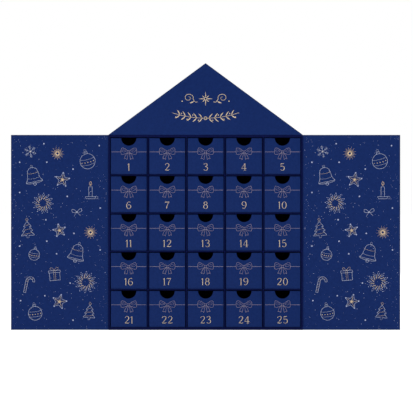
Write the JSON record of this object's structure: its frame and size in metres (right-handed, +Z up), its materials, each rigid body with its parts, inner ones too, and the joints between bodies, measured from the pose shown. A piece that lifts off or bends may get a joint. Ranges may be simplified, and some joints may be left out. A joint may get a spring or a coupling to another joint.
{
  "type": "cardboard advent calendar",
  "caption": "House-shaped cardboard advent calendar box with a grid of sliding numbered drawers behind two hinged doors.",
  "frame": {"origin": "centre of the cabinet's footprint on the table; with the doors open in line with the front, the box's bottom centre", "axes": "+X to the right of someone who faces the drawers, +Y from the front to the back, +Z up; the drawers slide out along -Y"},
  "size_m": [0.6404, 0.08, 0.439],
  "materials": {
    "navy_board": "matt laminated printed paper over greyboard",
    "navy_edge": "dark navy paper on a board's edge",
    "blue_drawer": "matt printed card, black inside",
    "hinge_paper": "matt laminated printed paper",
    "magnet": "nickel plated"
  },
  "bodies": {
    "cabinet": {"left_side_board": "navy_board", "right_side_board": "navy_board", "bottom_board": "navy_board", "top_board": "navy_board", "back_board": "navy_board", "divider_1": "navy_edge", "divider_2": "navy_edge", "divider_3": "navy_edge", "divider_4": "navy_edge", "shelf_1": "navy_edge", "shelf_2": "navy_edge", "shelf_3": "navy_edge", "shelf_4": "navy_edge", "gable_front_board": "navy_board", "gable_back_board": "navy_board", "roof_board_left": "navy_board", "roof_board_right": "navy_board", "left_hinge_case_leaf": "hinge_paper", "right_hinge_case_leaf": "hinge_paper"},
    "left_door": {"left_door_board": "navy_board", "left_door_magnets": "magnet", "left_hinge_door_leaf": "hinge_paper"},
    "right_door": {"right_door_board": "navy_board", "right_door_magnets": "magnet", "right_hinge_door_leaf": "hinge_paper"},
    "drawer_01_tray": {"drawer_01": "blue_drawer"},
    "drawer_02_tray": {"drawer_02": "blue_drawer"},
    "drawer_03_tray": {"drawer_03": "blue_drawer"},
    "drawer_04_tray": {"drawer_04": "blue_drawer"},
    "drawer_05_tray": {"drawer_05": "blue_drawer"},
    "drawer_06_tray": {"drawer_06": "blue_drawer"},
    "drawer_07_tray": {"drawer_07": "blue_drawer"},
    "drawer_08_tray": {"drawer_08": "blue_drawer"},
    "drawer_09_tray": {"drawer_09": "blue_drawer"},
    "drawer_10_tray": {"drawer_10": "blue_drawer"},
    "drawer_11_tray": {"drawer_11": "blue_drawer"},
    "drawer_12_tray": {"drawer_12": "blue_drawer"},
    "drawer_13_tray": {"drawer_13": "blue_drawer"},
    "drawer_14_tray": {"drawer_14": "blue_drawer"},
    "drawer_15_tray": {"drawer_15": "blue_drawer"},
    "drawer_16_tray": {"drawer_16": "blue_drawer"},
    "drawer_17_tray": {"drawer_17": "blue_drawer"},
    "drawer_18_tray": {"drawer_18": "blue_drawer"},
    "drawer_19_tray": {"drawer_19": "blue_drawer"},
    "drawer_20_tray": {"drawer_20": "blue_drawer"},
    "drawer_21_tray": {"drawer_21": "blue_drawer"},
    "drawer_22_tray": {"drawer_22": "blue_drawer"},
    "drawer_23_tray": {"drawer_23": "blue_drawer"},
    "drawer_24_tray": {"drawer_24": "blue_drawer"},
    "drawer_25_tray": {"drawer_25": "blue_drawer"}
  },
  "joints": [
    {"name": "left_door_hinge", "type": "hinge", "parent": "cabinet", "child": "left_door", "pos_m": [-0.1603, -0.04, 0.1605], "axis": [0, 0, -1], "range_deg": [-180, 0]},
    {"name": "right_door_hinge", "type": "hinge", "parent": "cabinet", "child": "right_door", "pos_m": [0.1603, -0.04, 0.1605], "axis": [0, 0, 1], "range_deg": [-180, 0]},
    {"name": "drawer_01_slide", "type": "slide", "parent": "cabinet", "child": "drawer_01_tray", "axis": [0, -1, 0], "range_m": [0, 0.06]},
    {"name": "drawer_02_slide", "type": "slide", "parent": "cabinet", "child": "drawer_02_tray", "axis": [0, -1, 0], "range_m": [0, 0.06]},
    {"name": "drawer_03_slide", "type": "slide", "parent": "cabinet", "child": "drawer_03_tray", "axis": [0, -1, 0], "range_m": [0, 0.06]},
    {"name": "drawer_04_slide", "type": "slide", "parent": "cabinet", "child": "drawer_04_tray", "axis": [0, -1, 0], "range_m": [0, 0.06]},
    {"name": "drawer_05_slide", "type": "slide", "parent": "cabinet", "child": "drawer_05_tray", "axis": [0, -1, 0], "range_m": [0, 0.06]},
    {"name": "drawer_06_slide", "type": "slide", "parent": "cabinet", "child": "drawer_06_tray", "axis": [0, -1, 0], "range_m": [0, 0.06]},
    {"name": "drawer_07_slide", "type": "slide", "parent": "cabinet", "child": "drawer_07_tray", "axis": [0, -1, 0], "range_m": [0, 0.06]},
    {"name": "drawer_08_slide", "type": "slide", "parent": "cabinet", "child": "drawer_08_tray", "axis": [0, -1, 0], "range_m": [0, 0.06]},
    {"name": "drawer_09_slide", "type": "slide", "parent": "cabinet", "child": "drawer_09_tray", "axis": [0, -1, 0], "range_m": [0, 0.06]},
    {"name": "drawer_10_slide", "type": "slide", "parent": "cabinet", "child": "drawer_10_tray", "axis": [0, -1, 0], "range_m": [0, 0.06]},
    {"name": "drawer_11_slide", "type": "slide", "parent": "cabinet", "child": "drawer_11_tray", "axis": [0, -1, 0], "range_m": [0, 0.06]},
    {"name": "drawer_12_slide", "type": "slide", "parent": "cabinet", "child": "drawer_12_tray", "axis": [0, -1, 0], "range_m": [0, 0.06]},
    {"name": "drawer_13_slide", "type": "slide", "parent": "cabinet", "child": "drawer_13_tray", "axis": [0, -1, 0], "range_m": [0, 0.06]},
    {"name": "drawer_14_slide", "type": "slide", "parent": "cabinet", "child": "drawer_14_tray", "axis": [0, -1, 0], "range_m": [0, 0.06]},
    {"name": "drawer_15_slide", "type": "slide", "parent": "cabinet", "child": "drawer_15_tray", "axis": [0, -1, 0], "range_m": [0, 0.06]},
    {"name": "drawer_16_slide", "type": "slide", "parent": "cabinet", "child": "drawer_16_tray", "axis": [0, -1, 0], "range_m": [0, 0.06]},
    {"name": "drawer_17_slide", "type": "slide", "parent": "cabinet", "child": "drawer_17_tray", "axis": [0, -1, 0], "range_m": [0, 0.06]},
    {"name": "drawer_18_slide", "type": "slide", "parent": "cabinet", "child": "drawer_18_tray", "axis": [0, -1, 0], "range_m": [0, 0.06]},
    {"name": "drawer_19_slide", "type": "slide", "parent": "cabinet", "child": "drawer_19_tray", "axis": [0, -1, 0], "range_m": [0, 0.06]},
    {"name": "drawer_20_slide", "type": "slide", "parent": "cabinet", "child": "drawer_20_tray", "axis": [0, -1, 0], "range_m": [0, 0.06]},
    {"name": "drawer_21_slide", "type": "slide", "parent": "cabinet", "child": "drawer_21_tray", "axis": [0, -1, 0], "range_m": [0, 0.06]},
    {"name": "drawer_22_slide", "type": "slide", "parent": "cabinet", "child": "drawer_22_tray", "axis": [0, -1, 0], "range_m": [0, 0.06]},
    {"name": "drawer_23_slide", "type": "slide", "parent": "cabinet", "child": "drawer_23_tray", "axis": [0, -1, 0], "range_m": [0, 0.06]},
    {"name": "drawer_24_slide", "type": "slide", "parent": "cabinet", "child": "drawer_24_tray", "axis": [0, -1, 0], "range_m": [0, 0.06]},
    {"name": "drawer_25_slide", "type": "slide", "parent": "cabinet", "child": "drawer_25_tray", "axis": [0, -1, 0], "range_m": [0, 0.06]}
  ]
}
